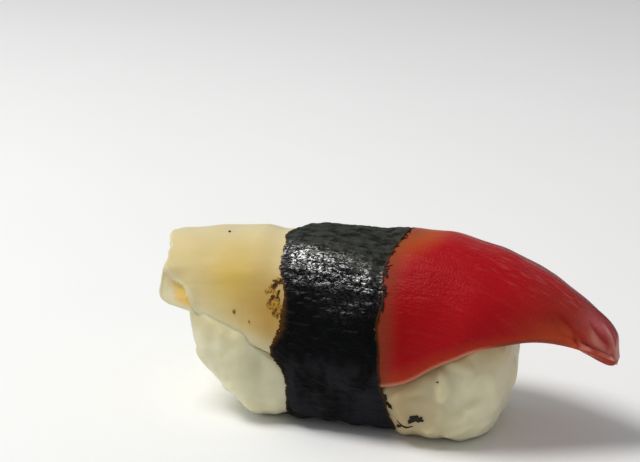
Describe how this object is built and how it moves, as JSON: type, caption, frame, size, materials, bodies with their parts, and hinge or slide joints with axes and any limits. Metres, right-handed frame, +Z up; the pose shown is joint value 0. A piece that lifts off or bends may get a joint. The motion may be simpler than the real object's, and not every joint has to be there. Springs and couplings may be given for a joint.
{
  "type": "surf clam nigiri",
  "caption": "Nigiri of pressed rice under a draped slice of surf clam foot, cream at its cut base and red at its pointed tip, held by a band of nori.",
  "frame": {"origin": "middle of the footprint, on the board that the nigiri rests on", "axes": "+X from the cut base of the slice to its pointed tip, +Z up, -Y towards the side that is shown"},
  "size_m": [0.0788, 0.0312, 0.0336],
  "materials": {
    "rice": "cooked rice grains, moist and slightly translucent",
    "clam": "moist flesh, cream at the base through yellow and orange to deep red at the foot",
    "nori": "moist dried seaweed, black green with a faint sheen"
  },
  "bodies": {
    "root": {"rice": "rice", "clam": "clam", "nori": "nori"}
  },
  "joints": []
}
